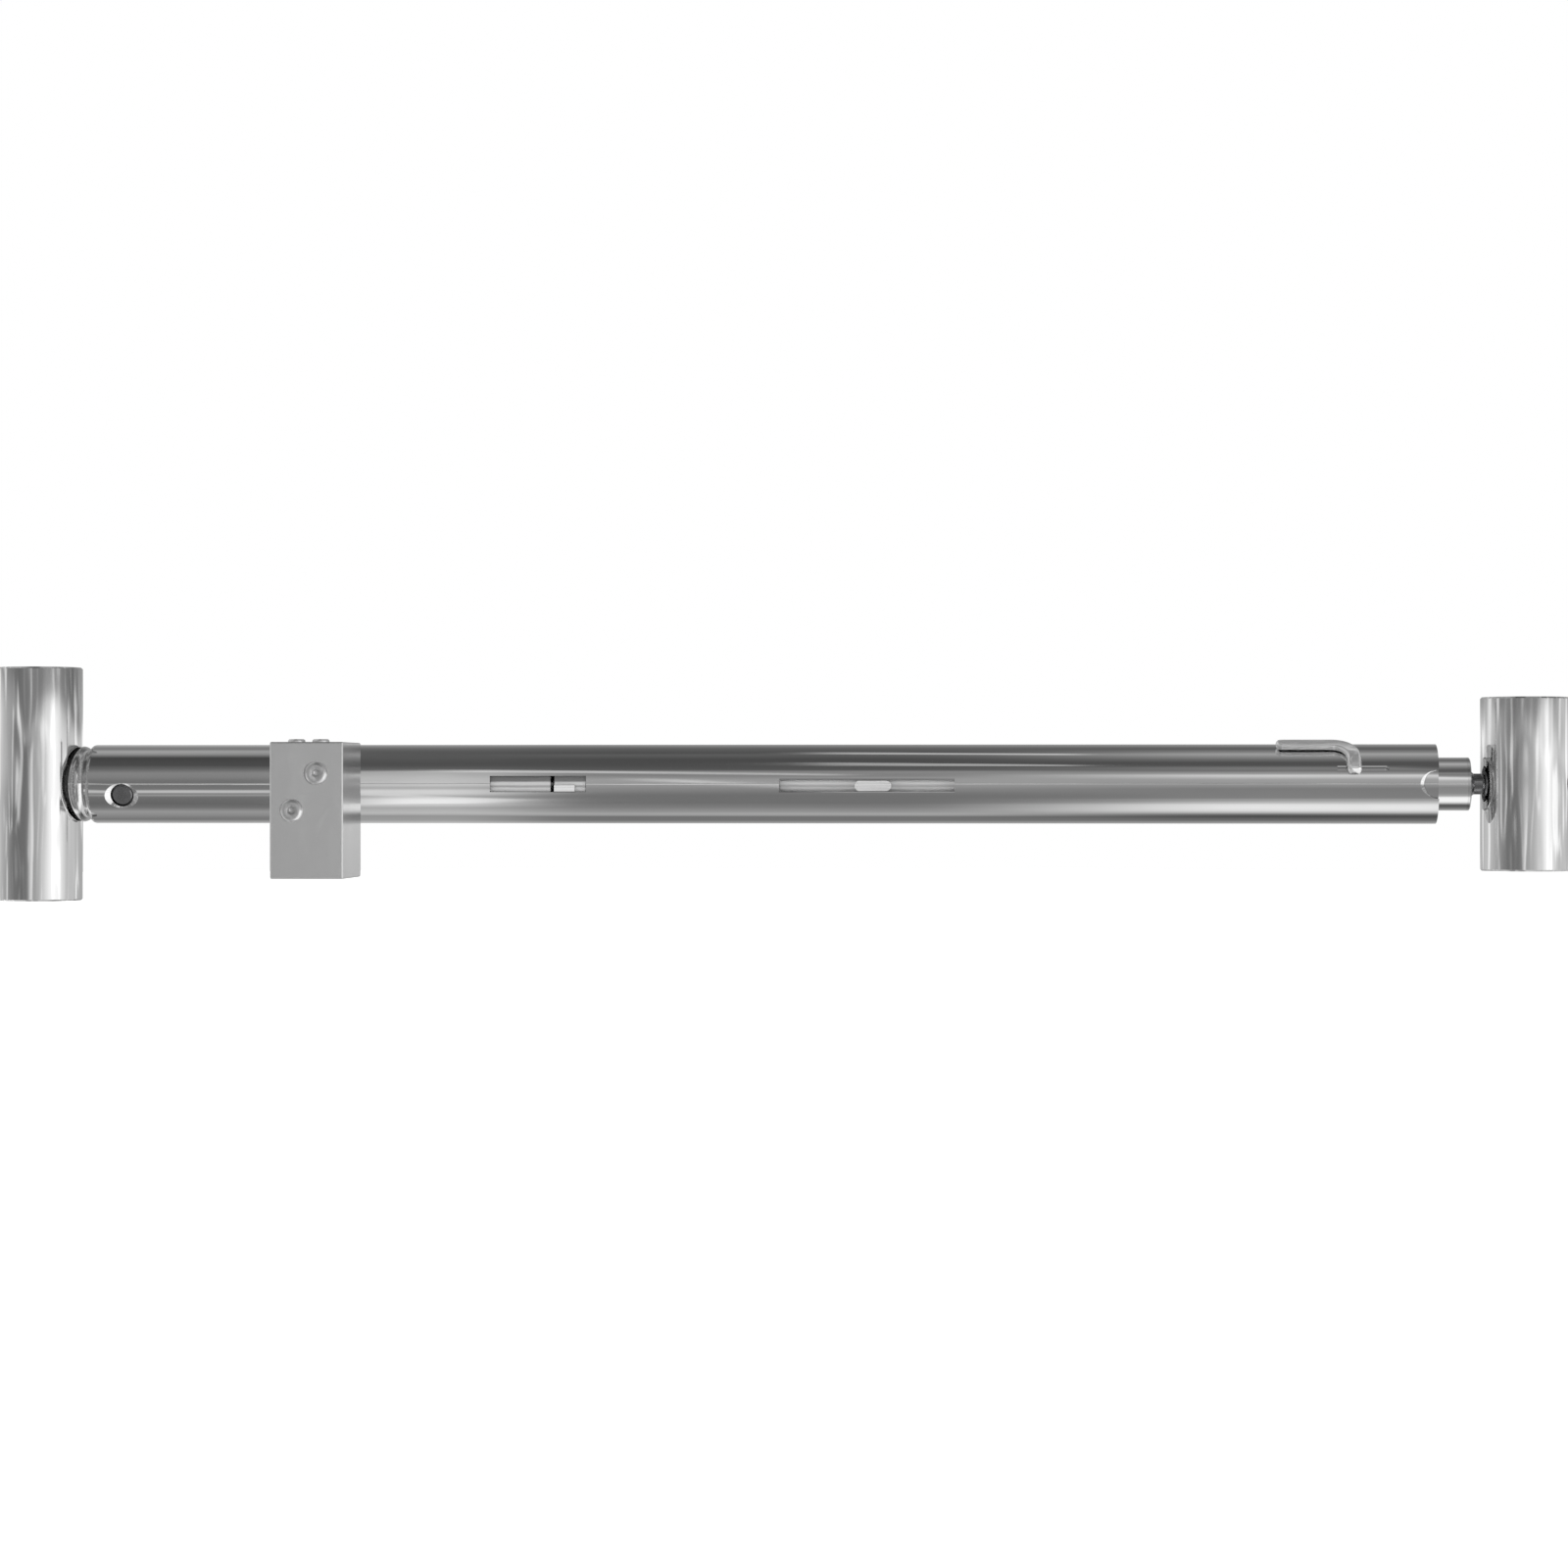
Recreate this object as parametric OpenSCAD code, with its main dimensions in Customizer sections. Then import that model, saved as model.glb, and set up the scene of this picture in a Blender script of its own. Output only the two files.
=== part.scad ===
// Window security bar: a steel tube that spans a window opening between two
// upright foot tubes, with a sprung plunger, a ball-jointed right foot, a finger
// hook that draws the plunger in, and a stop block bolted to the front.
// Millimetres. The origin is the centre of the left foot's bore, +X runs along
// the bar towards the right foot, +Z is up and -Y is the front.

/* [Feet] */
// Outside diameter of both foot tubes
foot_od = 42.4; // [42.4:0.1:44]
// Wall thickness of both foot tubes
foot_wall = 3.2; // [3:0.1:3.5]
// Height of the left foot tube
left_foot_h = 114; // [90:1:140]
// Height of the right foot tube
right_foot_h = 83; // [70:1:110]
// Distance between the axes of the two feet
foot_span = 721; // [715:1:735]

/* [Bar tube] */
// Outside diameter of the bar tube
bar_od = 38.1; // [37.9:0.1:38.2]
// Wall thickness of the bar tube
bar_wall = 2.5; // [2.4:0.1:2.6]
// Distance from the left foot's axis to the bar tube's left end
bar_start = 27; // [26.5:0.1:27.5]
// Length of the front slot that shows the adjuster
adjuster_slot_l = 46.5; // [46:0.5:60]
// Length of the front slot that shows the plunger
plunger_slot_l = 84; // [60:1:90]

/* [Stop block] */
// Width of the stop block along the bar
block_w = 34.8; // [32:0.2:40]
// Depth of the stop block in front of the bar
block_d = 48; // [44:0.5:52]
// Height of the stop block
block_h = 64.6; // [60:0.2:70]
// Chamfer along the block's edges
block_chamfer = 0.6; // [0.3:0.1:1]

/* [Plunger] */
// Outside diameter of the plunger tube
plunger_od = 25.4; // [25.2:0.1:25.4]
// Wall thickness of the plunger tube
plunger_wall = 2; // [1.8:0.1:2.2]
// Length of plunger that stands out of the bar
plunger_out = 16; // [14:0.5:18]
// Diameter of the ball on the right foot's stud
ball_d = 16; // [15:0.5:16]

/* [Finger hook] */
// Width of the hook's strap
strap_w = 6.6; // [5.5:0.1:7]
// Thickness of the hook's strap
strap_t = 3.6; // [2.5:0.1:3.8]
// Length of the hook's straight arm
arm_l = 26; // [20:1:30]

/* [Hidden] */

$fn = 96;
// Small overrun that keeps a cutter clear of the face it cuts
over = 1;
// Gap between pieces that are fastened to each other
seat_gap = 0.05;

foot_r = foot_od / 2;
foot_bore_r = foot_r - foot_wall;
foot_chamfer = 0.8;
// How far a screw head or plug stays outside the foot's bore
bore_margin = 0.1;
screw_r = 3;
screw_head_r = 5.6;
screw_head_t = 2.6;
access_hole_r = 6;

bar_r = bar_od / 2;
bore_r = bar_r - bar_wall;
bar_end = foot_span - 42.5;
bar_corner_r = 2;
// Bevels about the bar's slot and holes: depth, and run for each millimetre of depth
bevel_depth = 0.6;
bevel_run = 1.7;

// Snap button, turned a little below the front of the bar
button_x = 45.1;
button_turn = 18.2;
button_r = 5.3;
button_hole_r = 5.7;
button_flange_r = 6.62;
button_bore_r = 6.7;
button_top = 17.6;
button_floor = 4;
flange_low = 11.3;
flange_top = 14.8;

// Left spigot: bead, groove and the plug that enters the bar
bead_r = 18.4;
bead_mid = 22.3;
bead_round = 4.4;
groove_r = 16.2;
spigot_end = 62;
// The gasket is a lens seen along the bar: two arcs that meet above and below
gasket_r = 18.57;
gasket_shift = 4.57;
// The gasket's bar side: where it crosses the bar's axis, and its curve
gasket_face_x = 22.4;
gasket_face_r = 35.6;

// Stop block and what fastens it
block_x = 127.3;
block_front = -bar_r - block_d;
saddle_depth = 1.5;
block_back = -bar_r + saddle_depth;
block_top = 19.8;
bolt_r = 3;
bolt_head_r = 5.25;
bolt_head_t = 3;
bolt_tip_y = -8.8;
bolt_places = [[149.1, 5.1], [137.5, -12.5]];
lock_y = block_front + 14.4;
lock_head_r = 4.1;
lock_head_t = 1.4;
lock_r = 2.5;
hex_r = 2;

// Adjuster: rod, slug and key, seen through the first slot
rod_r = 8;
rod_start = 96;
rod_end = 254;
// Thicker end of the rod, which nearly fills the bar's bore
head_start = 212;
head_r = 15.9;
bush_left_x = 102;
bush_right_x = 168;
adjuster_slot_x = 225;
adjuster_slot_w = 7.8;
slug_start = 256;
slug_end = 271;
slug_r = 16.2;
key_w = 3;
key_l = 10;
key_top_y = -18.2;

// Plunger and its guide, seen through the second slot
plunger_r = plunger_od / 2;
plunger_bore_r = plunger_r - plunger_wall;
plunger_start = 346;
plunger_face = bar_end + plunger_out;
cap_flange_t = 1.7;
guide_start = 343;
guide_l = 13;
guide_r = bore_r - 0.1;
plunger_slot_x = 364.6;
plunger_slot_w = 5.6;
plunger_slot_z = -0.9;
travel_key_x = 409.6;
travel_key_l = 17.6;
travel_key_w = 5;
travel_key_top_y = -18.6;

// Springs: wire radius, coil radius, ends and number of turns
main_wire_r = 1.3;
main_coil_r = 11.5;
main_turns = 13;
button_wire_r = 0.45;
button_coil_r = 4.6;
button_turns = 4;
ring_sides = 6;
steps_per_turn = 16;

// Finger hook: it wraps the bar between two angles above the front
hook_foot_turn = 22.2;
hook_mid_turn = 45;
strap_in_r = bar_r + 0.45;
strap_out_r = strap_in_r + strap_t;
arm_tip_x = 601.8;
arm_centre = 6.2;
bend_r = 14;
bend_x = arm_tip_x + arm_l;
bend_centre = arm_centre + strap_w / 2 - bend_r;
tab_t = 2.8;
hook_slot_x = 630.6;
hook_slot_end = 655;
hook_slot_w = 3.4;
rivet_r = 0.9;
// Curved shoe between the plunger and the bore, under the hook's slot
shoe_x = 626.5;
shoe_l = 28.5;
shoe_w = 9;
shoe_r = bore_r - 0.3;

// Bush in the bar's right end, with a half-round boss in the tube's notch
bush_l = 11;
bush_r = bore_r - seat_gap;
bush_bore_r = plunger_r + 0.05;
notch_r = 7;
bush_screw_x = bar_end - 5.5;

// Ball socket
ball_r = ball_d / 2;
ball_x = bar_end + 7.5;
seat_start = ball_x - 12;
seat_end = ball_x + 4.2;
seat_r = plunger_bore_r - 0.08;
neck_r = 5;
collar_r = 6.3;

// A cylinder along the bar from x0 to x1
module rod_x(x0, x1, r) {
  translate([x0, 0, 0]) rotate([0, 90, 0]) cylinder(r = r, h = x1 - x0);
}

// A cone along the bar from x0 to x1
module cone_x(x0, x1, r0, r1) {
  translate([x0, 0, 0]) rotate([0, 90, 0]) cylinder(r1 = r0, r2 = r1, h = x1 - x0);
}

// A cylinder from front to back, from y0 to y1, through the point x, z
module rod_y(x, z, y0, y1, r) {
  translate([x, y0, z]) rotate([-90, 0, 0]) cylinder(r = r, h = y1 - y0);
}

// Children drawn along +Z are laid along the bar, with their +X up
module lay_along_bar() {
  rotate([0, 90, 0]) children();
}

// Children drawn with +Z as outwards are set at x, turned above the front
module set_radial(x, turn) {
  translate([x, 0, 0]) rotate([-turn, 0, 0]) rotate([90, 0, 0]) children();
}

// Six-sided socket, as deep as h
module hex_cut(h) {
  cylinder(r = hex_r, h = h, $fn = 6);
}

// A ring about Z with both edges chamfered, centred on z = 0
module chamfered_ring(r_out, r_in, h, c) {
  rotate_extrude() polygon([
    [r_in, -h / 2 + c], [r_in + c, -h / 2], [r_out - c, -h / 2], [r_out, -h / 2 + c],
    [r_out, h / 2 - c], [r_out - c, h / 2], [r_in + c, h / 2], [r_in, h / 2 - c]
  ]);
}

// Upright foot tube: side is +1 when the bar joins it on +X and -1 on -X
module foot_tube(x, h, side) {
  translate([x, 0, 0]) mirror([side < 0 ? 1 : 0, 0, 0]) difference() {
    chamfered_ring(foot_r, foot_bore_r, h, foot_chamfer);
    rod_x(0, foot_r + over, screw_r + 0.1);
    foot_screw_head(0.1);
    rod_x(-foot_r - over, 0, access_hole_r);
  }
}

// Countersunk head of the screw that holds a foot, grown by gap
module foot_screw_head(gap) {
  head_x = foot_bore_r + bore_margin;
  cone_x(head_x, head_x + screw_head_t, screw_head_r + gap, screw_r + gap);
  if (gap > 0) rod_x(0, head_x + 0.01, screw_head_r + gap);
}

// Screw that fastens a foot from inside its bore
module foot_screw(x, tip, side) {
  head_x = foot_bore_r + bore_margin;
  translate([x, 0, 0]) mirror([side < 0 ? 1 : 0, 0, 0]) difference() {
    union() {
      foot_screw_head(0);
      rod_x(head_x + screw_head_t - 0.1, tip, screw_r);
    }
    translate([head_x - 0.01, 0, 0]) rotate([0, 90, 0]) hex_cut(2);
  }
}

// Press-in plug that closes the hole through which the foot's screw is turned
module access_plug(x, side) {
  plug_r = access_hole_r - 0.05;
  rim_x = foot_r + 0.05;
  translate([x, 0, 0]) mirror([side > 0 ? 1 : 0, 0, 0]) {
    rod_x(foot_bore_r + bore_margin, rim_x + 0.5, plug_r);
    difference() {
      cone_x(foot_r - 1.2, rim_x + 1.2, access_hole_r + 2.2, access_hole_r + 0.8);
      cylinder(r = rim_x, h = 4 * access_hole_r, center = true);
    }
  }
}

// Section of the bar's tube: its left outer corner is rounded
module bar_section() {
  translate([bore_r, bar_start + bar_corner_r]) {
    square([bar_wall, bar_end - bar_start - bar_corner_r]);
  }
  translate([bore_r, bar_start]) square([bar_wall - bar_corner_r, bar_corner_r]);
  intersection() {
    translate([bar_r - bar_corner_r, bar_start + bar_corner_r]) circle(r = bar_corner_r, $fn = 48);
    translate([bore_r, bar_start]) square([bar_wall, bar_corner_r]);
  }
}

// A straight slot through the front wall, square at both ends
module front_slot(x, l, w, z) {
  translate([x, -bar_r - over, z - w / 2]) cube([l, bar_wall + 2 * over, w]);
}

// Shallow bevel along both long edges of a front slot
module slot_bevel(x, l, w, z) {
  flare = w / 2 + (bevel_depth + over) * bevel_run;
  low_y = -bar_r + bevel_depth;
  high_y = -bar_r - over;
  translate([x, 0, z]) rotate([90, 0, 90]) linear_extrude(l) {
    polygon([[low_y, -w / 2], [low_y, w / 2], [high_y, flare], [high_y, -flare]]);
  }
}

// Shallow cone that opens a radial hole of radius r at the bar's surface
module sink(r, depth) {
  translate([0, 0, bar_r - depth]) {
    cylinder(r1 = r, r2 = r + (depth + over) * bevel_run, h = depth + over);
  }
}

// Slot that the hook's tab runs in, round at its right end
module hook_slot() {
  run = hook_slot_end - hook_slot_x - hook_slot_w / 2;
  set_radial(hook_slot_x, hook_foot_turn) translate([0, 0, bore_r - over]) {
    translate([0, -hook_slot_w / 2, 0]) cube([run, hook_slot_w, bar_wall + 2 * over]);
    translate([run, 0, 0]) cylinder(r = hook_slot_w / 2, h = bar_wall + 2 * over);
  }
}

module main_tube() {
  color([0.72, 0.73, 0.74]) difference() {
    lay_along_bar() rotate_extrude() bar_section();
    front_slot(adjuster_slot_x, adjuster_slot_l, adjuster_slot_w, 0);
    front_slot(plunger_slot_x, plunger_slot_l, plunger_slot_w, plunger_slot_z);
    slot_bevel(plunger_slot_x, plunger_slot_l, plunger_slot_w, plunger_slot_z);
    hook_slot();
    set_radial(button_x, -button_turn) {
      cylinder(r = button_hole_r, h = bar_r + over);
      sink(button_hole_r, 1.5);
    }
    set_radial(bar_end, 0) {
      cylinder(r = notch_r, h = bar_r + over);
      sink(notch_r, 1.1);
    }
    for (p = bolt_places) rod_y(p[0], p[1], -bar_r - over, 0, bolt_r + 0.1);
    rod_y(bush_screw_x, 0, 0, bar_r + over, 2.1);
    translate([bush_screw_x, bar_r - 1.9, 0]) rotate([-90, 0, 0]) cylinder(r1 = 2, r2 = 4.2, h = 2.2);
  }
}

module left_foot_tube() {
  color([0.70, 0.71, 0.72]) foot_tube(0, left_foot_h, 1);
}

module left_foot_screw() {
  color([0.62, 0.63, 0.64]) foot_screw(0, 36, 1);
}

module left_access_plug() {
  color([0.08, 0.08, 0.09]) access_plug(0, 1);
}

// Everything on the foot's side of the gasket's bar side, grown by gap
module gasket_face(gap) {
  translate([gasket_face_x - gasket_face_r, 0, 0]) {
    cylinder(r = gasket_face_r + gap, h = 3 * bead_r, center = true);
  }
}

// Black saddle washer between the foot and the spigot
module saddle_gasket() {
  color([0.04, 0.04, 0.045]) difference() {
    intersection() {
      translate([0, -gasket_shift, 0]) rod_x(0, gasket_face_x + over, gasket_r);
      translate([0, gasket_shift, 0]) rod_x(0, gasket_face_x + over, gasket_r);
      gasket_face(0);
    }
    cylinder(r = foot_r + seat_gap, h = 3 * gasket_r, center = true);
    rod_x(0, gasket_face_x + 2 * over, screw_r + 0.5);
  }
}

// Section of the spigot: half-round bead, groove and plug
module spigot_section() {
  square([bead_r - bead_round, bead_mid]);
  translate([bead_r - bead_round, bead_mid]) circle(r = bead_round, $fn = 96);
  translate([0, bead_mid]) square([groove_r, bar_start - bead_mid]);
  square([bore_r - seat_gap, spigot_end]);
}

module left_spigot() {
  color([0.76, 0.77, 0.78]) difference() {
    lay_along_bar() rotate_extrude() spigot_section();
    gasket_face(seat_gap);
    rod_x(0, 37, screw_r + 0.05);
    set_radial(button_x, -button_turn) translate([0, 0, button_floor]) {
      cylinder(r = button_bore_r, h = bore_r);
    }
  }
}

// Push button with a flange that the bar's wall keeps in
module snap_button() {
  color([0.35, 0.35, 0.36]) set_radial(button_x, -button_turn) {
    translate([0, 0, flange_low]) cylinder(r = button_flange_r, h = flange_top - flange_low);
    translate([0, 0, flange_top]) cylinder(r = button_r, h = button_top - flange_top - 0.8);
    translate([0, 0, button_top - 0.8]) cylinder(r1 = button_r, r2 = button_r - 0.8, h = 0.8);
  }
}

// One point of the coil's wire: turn along the coil, around is the wire's own angle
function coil_point(coil_r, wire_r, pitch, turn, around) = [
  (coil_r + wire_r * cos(around)) * cos(turn),
  (coil_r + wire_r * cos(around)) * sin(turn),
  pitch * turn / 360 + wire_r * sin(around)
];

// Closed wire coil along +Z from z = 0 to z = l
module coil(coil_r, wire_r, l, turns) {
  pitch = (l - 2 * wire_r) / turns;
  rings = turns * steps_per_turn;
  points = [
    for (i = [0 : rings], j = [0 : ring_sides - 1])
      coil_point(coil_r, wire_r, pitch, 360 * i / steps_per_turn, 360 * j / ring_sides)
  ];
  sides = [
    for (i = [0 : rings - 1], j = [0 : ring_sides - 1])
      let (k = (j + 1) % ring_sides, a = i * ring_sides, b = a + ring_sides)
        each [[a + j, a + k, b + k], [a + j, b + k, b + j]]
  ];
  start_cap = [for (j = [ring_sides - 1 : -1 : 0]) j];
  end_cap = [for (j = [0 : ring_sides - 1]) rings * ring_sides + j];
  translate([0, 0, wire_r]) polyhedron(points, concat(sides, [start_cap, end_cap]), convexity = 10);
}

module button_spring() {
  spring_l = flange_low - button_floor - 0.2;
  color([0.6, 0.6, 0.62]) set_radial(button_x, -button_turn) translate([0, 0, button_floor + 0.1]) {
    coil(button_coil_r, button_wire_r, spring_l, button_turns);
  }
}

// Chamfered rectangle, used on each of the block's three views
module chamfered_rect(w, h, c) {
  polygon([[c, 0], [w - c, 0], [w, c], [w, h - c], [w - c, h], [c, h], [0, h - c], [0, c]]);
}

module stop_block() {
  depth = block_back - block_front;
  c = block_chamfer;
  color([0.60, 0.60, 0.60]) difference() {
    translate([block_x, block_front, block_top - block_h]) intersection() {
      linear_extrude(block_h) chamfered_rect(block_w, depth, c);
      translate([0, depth, 0]) rotate([90, 0, 0]) linear_extrude(depth) chamfered_rect(block_w, block_h, c);
      rotate([90, 0, 90]) linear_extrude(block_w) chamfered_rect(depth, block_h, c);
    }
    rod_x(block_x - over, block_x + block_w + over, bar_r + seat_gap);
    for (p = bolt_places) {
      rod_y(p[0], p[1], block_front - over, 0, bolt_r + 0.1);
      rod_y(p[0], p[1], block_front - over, block_front + bolt_head_t + 0.2, bolt_head_r + 0.35);
      translate([p[0], lock_y, p[1]]) cylinder(r = lock_r + 0.05, h = block_top - p[1] + over);
    }
  }
}

// The two socket-head bolts that run from the block's front into the bar
module block_bolts() {
  head_y = block_front + 0.1;
  color([0.66, 0.66, 0.67]) for (p = bolt_places) difference() {
    union() {
      rod_y(p[0], p[1], head_y + 1.2, head_y + bolt_head_t, bolt_head_r);
      translate([p[0], head_y, p[1]]) rotate([-90, 0, 0]) {
        cylinder(r1 = bolt_head_r - 1.4, r2 = bolt_head_r, h = 1.2);
      }
      rod_y(p[0], p[1], head_y + bolt_head_t, bolt_tip_y, bolt_r);
    }
    translate([p[0], head_y - 0.01, p[1]]) rotate([-90, 0, 0]) hex_cut(2);
  }
}

// The two screws that come down from the block's top and press on its bolts
module block_lock_screws() {
  color([0.66, 0.66, 0.67]) for (p = bolt_places) translate([p[0], lock_y, 0]) difference() {
    union() {
      translate([0, 0, p[1] + bolt_r + seat_gap]) cylinder(r = lock_r, h = block_top - p[1] - bolt_r);
      translate([0, 0, block_top + seat_gap]) cylinder(r = lock_head_r, h = 0.7);
      translate([0, 0, block_top + seat_gap + 0.7]) {
        cylinder(r1 = lock_head_r, r2 = lock_head_r - 0.7, h = lock_head_t - 0.7);
      }
    }
    translate([0, 0, block_top + lock_head_t - 1.3]) hex_cut(2);
  }
}

// Half-round nut plate inside the bar, tapped for the block's bolts
module bolt_anchor() {
  anchor_x = block_x + 3;
  anchor_l = block_w - 6;
  flat_y = -rod_r - 0.6;
  color([0.58, 0.58, 0.6]) difference() {
    rod_x(anchor_x, anchor_x + anchor_l, bore_r - seat_gap);
    translate([anchor_x - over, flat_y, -bar_r]) cube([anchor_l + 2 * over, bar_od, bar_od]);
    for (p = bolt_places) rod_y(p[0], p[1], -bar_r - over, 0, bolt_r + 0.05);
  }
}

// Ring that guides the adjuster rod inside the bar
module rod_bush(x) {
  difference() {
    rod_x(x, x + 10, bore_r - seat_gap);
    rod_x(x - over, x + 10 + over, rod_r + 0.05);
  }
}

module rod_bush_left() {
  color([0.15, 0.15, 0.16]) rod_bush(bush_left_x);
}

module rod_bush_right() {
  color([0.15, 0.15, 0.16]) rod_bush(bush_right_x);
}

// Turned rod with a thick right end and a thinner nose that enters the slug
module adjuster_rod() {
  color([0.66, 0.67, 0.68]) {
    cone_x(rod_start, rod_start + 1, rod_r - 1, rod_r);
    rod_x(rod_start + 1, head_start, rod_r);
    cone_x(head_start, head_start + 1, head_r - 1, head_r);
    rod_x(head_start + 1, rod_end, head_r);
    rod_x(rod_end, slug_start + 8, 4);
  }
}

module adjuster_slug() {
  color([0.66, 0.67, 0.68]) difference() {
    rod_x(slug_start, slug_end, slug_r);
    rod_x(slug_start - over, slug_start + 8 + seat_gap, 4 + seat_gap);
    translate([slug_start - over, -slug_r - over, -0.6 - key_w]) {
      cube([key_l + over + seat_gap, 5, key_w + seat_gap]);
    }
  }
}

// Key in the slug that runs in the first slot
module adjuster_key() {
  color([0.85, 0.86, 0.87]) {
    translate([slug_start, key_top_y, -0.6 - key_w]) cube([key_l, -key_top_y - slug_r + 3.9, key_w]);
  }
}

module main_spring() {
  color([0.6, 0.6, 0.62]) translate([slug_end + 0.1, 0, 0]) lay_along_bar() {
    coil(main_coil_r, main_wire_r, guide_start - slug_end - 0.2, main_turns);
  }
}

module plunger_tube() {
  color([0.78, 0.79, 0.80]) difference() {
    rod_x(plunger_start + seat_gap, plunger_face - cap_flange_t, plunger_r);
    rod_x(plunger_start - over, plunger_face, plunger_bore_r);
    set_radial(bend_x + bend_r - strap_w / 2, hook_foot_turn) cylinder(r = rivet_r + 0.02, h = plunger_r + over);
  }
}

// Closed cup on the plunger's inner end: it runs in the bar and takes the spring
module plunger_guide() {
  color([0.2, 0.2, 0.21]) difference() {
    rod_x(guide_start, guide_start + guide_l, guide_r);
    rod_x(plunger_start, guide_start + guide_l + over, plunger_r + 0.02);
  }
}

// Round-ended key on the plunger that runs in the second slot
module travel_key() {
  key_r = travel_key_w / 2;
  half = travel_key_l / 2 - key_r;
  color([0.9, 0.9, 0.91]) difference() {
    union() {
      for (s = [-1, 1]) rod_y(travel_key_x + s * half, plunger_slot_z, travel_key_top_y, -8, key_r);
      translate([travel_key_x - half, travel_key_top_y, plunger_slot_z - key_r]) {
        cube([2 * half, -travel_key_top_y - 8, travel_key_w]);
      }
    }
    rod_x(travel_key_x - travel_key_l, travel_key_x + travel_key_l, plunger_r + 0.02);
  }
}

// Plan of the hook's strap: arm with a round tip, quarter bend and leg
module strap_plan() {
  half = strap_w / 2;
  leg_l = 6;
  translate([arm_tip_x + half, arm_centre]) circle(r = half);
  translate([arm_tip_x + half, arm_centre - half]) square([arm_l - half, strap_w]);
  intersection() {
    difference() {
      translate([bend_x, bend_centre]) circle(r = bend_r);
      translate([bend_x, bend_centre]) circle(r = bend_r - strap_w);
    }
    translate([bend_x, bend_centre]) square([bend_r + over, bend_r + over]);
  }
  translate([bend_x + bend_r - strap_w, bend_centre - leg_l]) square([strap_w, leg_l]);
}

// Finger hook: a strap bent round the bar, with a tab that goes in to the plunger
module finger_hook() {
  tab_x = bend_x + bend_r - strap_w;
  color([0.82, 0.83, 0.84]) difference() {
    union() {
      intersection() {
        difference() {
          rod_x(arm_tip_x - over, tab_x + strap_w + over, strap_out_r);
          rod_x(arm_tip_x - 2 * over, tab_x + strap_w + 2 * over, strap_in_r);
        }
        set_radial(0, hook_mid_turn) linear_extrude(strap_out_r + over) strap_plan();
      }
      set_radial(tab_x, hook_foot_turn) translate([0, -tab_t / 2, shoe_r - over]) {
        cube([strap_w, tab_t, strap_out_r - shoe_r - 1.4 + over]);
      }
    }
    rod_x(tab_x - over, tab_x + strap_w + over, shoe_r + 0.02);
    set_radial(tab_x + strap_w / 2, hook_foot_turn) cylinder(r = rivet_r + 0.02, h = bar_r + 0.05);
  }
}

// Shoe that carries the hook's tab on the plunger
module hook_shoe() {
  color([0.7, 0.7, 0.72]) difference() {
    intersection() {
      rod_x(shoe_x, shoe_x + shoe_l, shoe_r);
      set_radial(shoe_x, hook_foot_turn) translate([0, -shoe_w / 2, 0]) cube([shoe_l, shoe_w, bar_r]);
    }
    rod_x(shoe_x - over, shoe_x + shoe_l + over, plunger_r + 0.02);
    set_radial(bend_x + bend_r - strap_w / 2, hook_foot_turn) cylinder(r = rivet_r + 0.02, h = bar_r);
  }
}

// Rivet through the plunger's wall and the shoe into the hook's tab
module hook_rivet() {
  color([0.6, 0.6, 0.62]) set_radial(bend_x + bend_r - strap_w / 2, hook_foot_turn) {
    translate([0, 0, plunger_bore_r - 1.6]) cylinder(r1 = 2, r2 = 2.8, h = 1);
    translate([0, 0, plunger_bore_r - 0.6]) cylinder(r = rivet_r, h = bar_r - plunger_bore_r + 0.6);
  }
}

// Bush that guides the plunger, with the boss that fills the bar's notch
module end_bush() {
  boss_r = notch_r - 0.15;
  color([0.74, 0.75, 0.76]) difference() {
    union() {
      rod_x(bar_end - bush_l, bar_end - 0.3, bush_r);
      intersection() {
        rod_x(bar_end - bush_l, bar_end - 0.3, bar_r - 0.9);
        set_radial(bar_end, 0) cylinder(r = boss_r, h = bar_r);
      }
    }
    rod_x(bar_end - bush_l - over, bar_end + over, bush_bore_r);
    rod_y(bush_screw_x, 0, 0, bar_r, 2.05);
  }
}

// Countersunk screw at the back that holds the bush
module end_bush_screw() {
  color([0.6, 0.6, 0.62]) difference() {
    union() {
      rod_y(bush_screw_x, 0, bush_bore_r + 0.3, bar_r - 1.7, 2);
      translate([bush_screw_x, bar_r - 1.8, 0]) rotate([-90, 0, 0]) cylinder(r1 = 2, r2 = 3.7, h = 1.7);
    }
    translate([bush_screw_x, bar_r - 1.3, 0]) rotate([-90, 0, 0]) cylinder(r = 1.2, h = 3, $fn = 6);
  }
}

// Disc inside the plunger that the ball seat bears on
module socket_plug() {
  color([0.58, 0.58, 0.6]) rod_x(seat_start - 8, seat_start - 0.3, plunger_bore_r - 0.02);
}

// Ring screwed into the plunger's end, opened out so that the stud can tilt
module socket_cap() {
  color([0.78, 0.79, 0.80]) difference() {
    union() {
      rod_x(plunger_face - cap_flange_t + 0.02, plunger_face - 0.5, plunger_r);
      cone_x(plunger_face - 0.5, plunger_face, plunger_r, plunger_r - 0.5);
      rod_x(seat_end + 0.3, plunger_face - cap_flange_t + 0.1, plunger_bore_r - 0.02);
    }
    cone_x(seat_end, plunger_face + 0.5, 6.8, 8.8);
  }
}

// Seat that holds the ball and turns inside the plunger
module ball_seat() {
  color([0.12, 0.12, 0.13]) difference() {
    rod_x(seat_start, seat_end, seat_r);
    translate([ball_x, 0, 0]) sphere(r = ball_r + 0.05);
  }
}

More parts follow.
